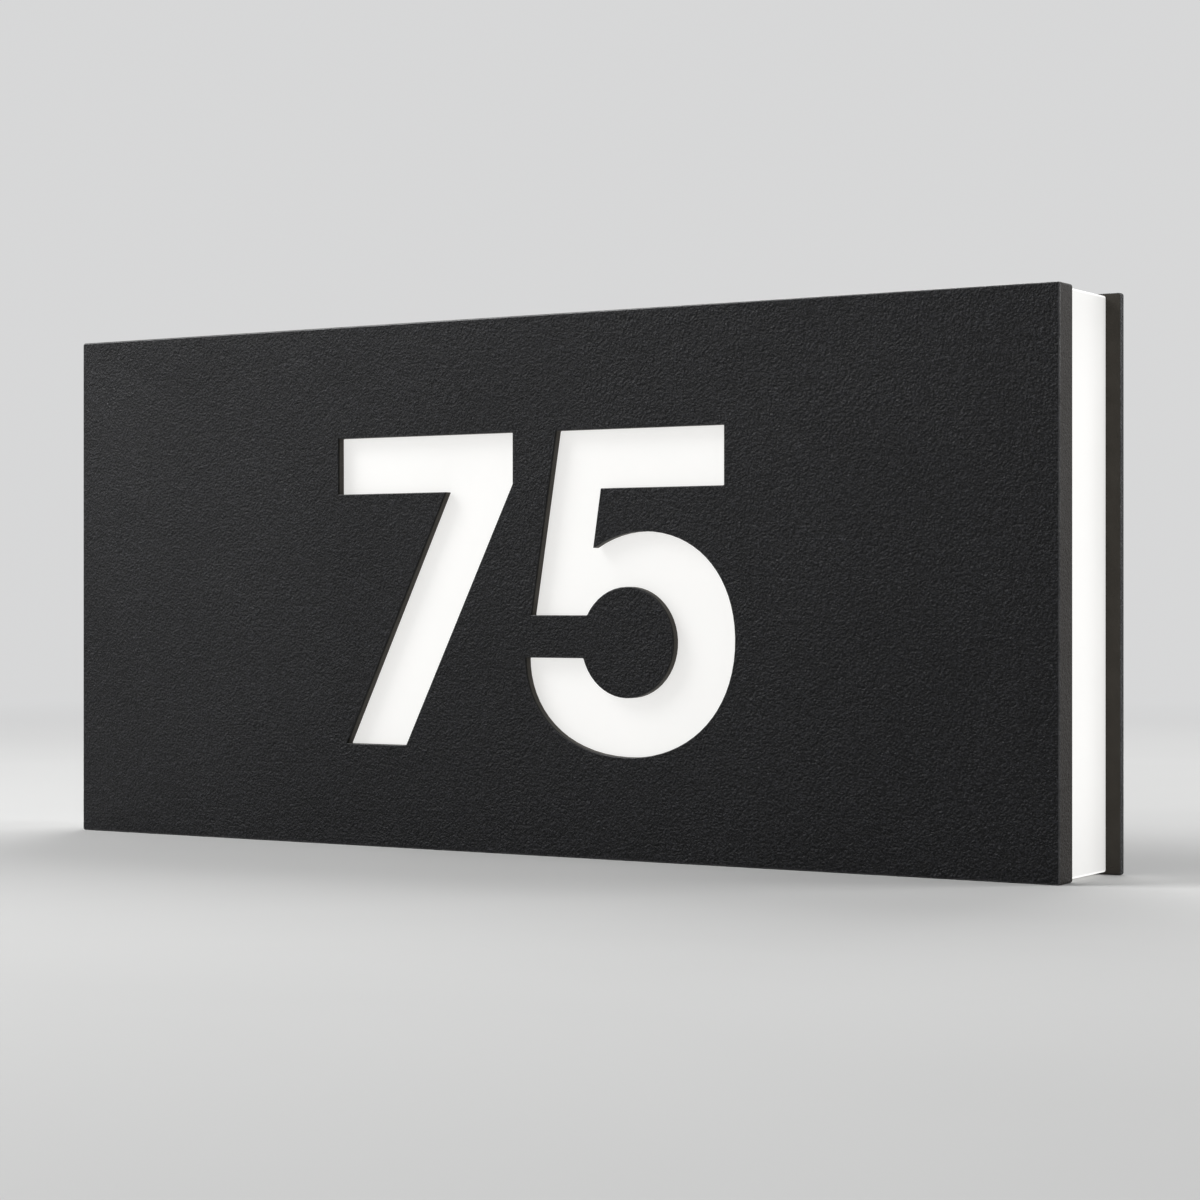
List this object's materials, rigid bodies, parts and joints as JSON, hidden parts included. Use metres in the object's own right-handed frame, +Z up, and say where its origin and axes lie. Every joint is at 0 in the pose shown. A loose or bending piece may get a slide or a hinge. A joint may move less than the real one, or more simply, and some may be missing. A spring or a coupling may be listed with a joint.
{
  "type": "illuminated house number sign",
  "caption": "Illuminated house number sign: black cover with cut-out digits over an opal light hood, hung on a black wall plate by keyholes.",
  "frame": {"origin": "on the ground under the middle of the sign", "axes": "+X along the sign to the viewer's right, +Y from the front to the wall, +Z up"},
  "size_m": [0.438, 0.047, 0.2],
  "materials": {
    "black_powder_coat": "fine textured matt powder coat",
    "opal_acrylic": "satin opal, lit from inside",
    "black_foam": "closed-cell foam",
    "black_rubber": "matt rubber",
    "bare_aluminium": "mill finish",
    "zinc_steel": "zinc plated",
    "stainless_steel": "plain stainless",
    "brass": "plain brass",
    "tinned_copper": "tinned",
    "white_board": "white solder mask",
    "led_chip": "phosphor window in a white body",
    "white_plastic": "fine moulded grain",
    "grey_plastic": "moulded nylon",
    "green_board": "green solder mask",
    "green_plastic": "moulded",
    "transformer_tape": "yellow tape over a ferrite core",
    "capacitor_sleeve": "shrink sleeve",
    "brown_pvc": "lead insulation",
    "blue_pvc": "lead insulation",
    "green_yellow_pvc": "striped lead insulation",
    "red_pvc": "lead insulation",
    "black_pvc": "lead insulation"
  },
  "bodies": {
    "wall_side": {"wall_plate": "black_powder_coat", "hanging_studs": "stainless_steel", "wall_grommet": "black_rubber"},
    "light_unit": {"front_cover": "black_powder_coat", "light_hood": "opal_acrylic", "ledge_frame": "opal_acrylic", "rear_seal": "black_foam", "panel_gasket": "black_foam", "cover_tape": "black_foam", "panel_grommet": "black_rubber", "back_panel": "bare_aluminium", "led_tray": "bare_aluminium", "hanger_rivets": "bare_aluminium", "hanger_left": "zinc_steel", "hanger_right": "zinc_steel", "tray_standoffs": "zinc_steel", "panel_screws": "stainless_steel", "standoff_screws": "stainless_steel", "tray_screws": "stainless_steel", "driver_screws": "stainless_steel", "block_screws": "stainless_steel", "clamp_screws": "stainless_steel", "terminal_screws": "stainless_steel", "earth_stud": "stainless_steel", "earth_nut": "stainless_steel", "ledge_inserts": "brass", "terminal_clamps": "brass", "earth_tag": "tinned_copper", "led_strip_1": "white_board", "led_strip_2": "white_board", "led_strip_3": "white_board", "led_strip_4": "white_board", "led_strip_5": "white_board", "strip_links": "white_board", "led_chips_1": "led_chip", "led_chips_2": "led_chip", "led_chips_3": "led_chip", "led_chips_4": "led_chip", "led_chips_5": "led_chip", "driver_case": "white_plastic", "driver_lid": "white_plastic", "feed_connector": "white_plastic", "terminal_block": "white_plastic", "cable_clamp": "grey_plastic", "driver_board": "green_board", "driver_terminals": "green_plastic", "driver_transformer": "transformer_tape", "driver_capacitors": "capacitor_sleeve", "live_lead": "brown_pvc", "neutral_lead": "blue_pvc", "earth_lead": "green_yellow_pvc", "feed_lead_positive": "red_pvc", "feed_lead_negative": "black_pvc"}
  },
  "joints": [
    {"name": "light_unit_lift", "type": "slide", "parent": "wall_side", "child": "light_unit", "axis": [0, 0, 1], "range_m": [0, 0.009]}
  ]
}
